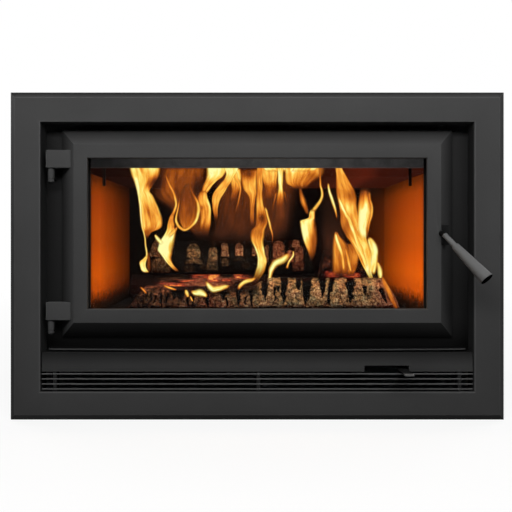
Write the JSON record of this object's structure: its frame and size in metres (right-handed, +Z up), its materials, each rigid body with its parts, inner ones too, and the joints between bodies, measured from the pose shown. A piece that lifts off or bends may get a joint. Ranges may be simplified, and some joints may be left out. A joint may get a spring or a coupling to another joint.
{
  "type": "inbuilt wood-burning fireplace",
  "caption": "Inbuilt wood fireplace: chamfered fascia, bevelled glazed door on pins with a turning handle, louvre, sliding air lever, bricked firebox with logs and flue spigot.",
  "frame": {"origin": "middle of the base of the whole object, on the floor", "axes": "+X to the right seen from the front, +Y to the back (into the wall), +Z up"},
  "size_m": [0.929, 0.5854, 0.6436],
  "materials": {
    "charcoal_paint": "satin high-temperature stove paint, charcoal",
    "black_paint": "matte black stove paint",
    "fired_steel": "dark, heat-scaled mild steel",
    "galvanised_steel": "galvanised sheet",
    "firebrick": "matte refractory brick",
    "ceramic_glass": "clear ceramic stove glass",
    "glass_rope": "braided glass-fibre rope and tape",
    "charred_wood": "charred bark and split wood",
    "ember": "glowing charcoal"
  },
  "bodies": {
    "root": {"fascia_frame": "charcoal_paint", "hinge_pin_upper": "charcoal_paint", "hinge_pin_lower": "charcoal_paint", "ash_ledge": "charcoal_paint", "lower_panel": "charcoal_paint", "louvre_blade_1": "charcoal_paint", "louvre_blade_2": "charcoal_paint", "louvre_blade_3": "charcoal_paint", "louvre_blade_4": "charcoal_paint", "louvre_rib_left": "charcoal_paint", "louvre_rib_centre": "charcoal_paint", "louvre_rib_right": "charcoal_paint", "front_plate": "black_paint", "hinge_lug_upper": "black_paint", "hinge_lug_lower": "black_paint", "firebox_shell": "fired_steel", "flue_spigot": "fired_steel", "cheek_plate_left": "fired_steel", "cheek_plate_right": "fired_steel", "baffle_plate": "fired_steel", "baffle_clip_left": "fired_steel", "baffle_clip_right": "fired_steel", "air_wash_manifold": "fired_steel", "latch_keeper": "fired_steel", "air_box": "fired_steel", "casing_left": "galvanised_steel", "casing_right": "galvanised_steel", "casing_back": "galvanised_steel", "casing_top": "galvanised_steel", "casing_base": "galvanised_steel", "base_runner_left": "galvanised_steel", "base_runner_right": "galvanised_steel", "fascia_bracket_left": "galvanised_steel", "fascia_bracket_right": "galvanised_steel", "floor_brick_left": "firebrick", "floor_brick_right": "firebrick", "side_brick_left": "firebrick", "side_brick_right": "firebrick", "back_brick_left": "firebrick", "back_brick_right": "firebrick", "front_log": "charred_wood", "rear_log": "charred_wood", "upper_log": "charred_wood", "right_log": "charred_wood", "ember_bed": "ember"},
    "door": {"door_frame": "charcoal_paint", "door_glass": "ceramic_glass", "glass_gasket": "glass_rope", "glass_retainer": "black_paint", "door_gasket": "glass_rope", "hinge_block_upper": "charcoal_paint", "hinge_block_lower": "charcoal_paint", "latch_boss": "charcoal_paint"},
    "handle": {"handle_rod": "charcoal_paint", "handle_grip": "charcoal_paint", "latch_tongue": "fired_steel", "spindle_nut": "fired_steel"},
    "air_slide": {"air_slide": "charcoal_paint"}
  },
  "joints": [
    {"name": "door_hinge", "type": "hinge", "parent": "root", "child": "door", "pos_m": [-0.388, -0.19925, 0.3036], "axis": [0, 0, -1], "range_deg": [0, 100]},
    {"name": "handle_turn", "type": "hinge", "parent": "door", "child": "handle", "pos_m": [0.3425, -0.21626, 0.35065], "axis": [0, 1, 0], "range_deg": [-35, 36]},
    {"name": "air_slide_travel", "type": "slide", "parent": "root", "child": "air_slide", "axis": [1, 0, 0], "range_m": [-0.063, 0]}
  ]
}
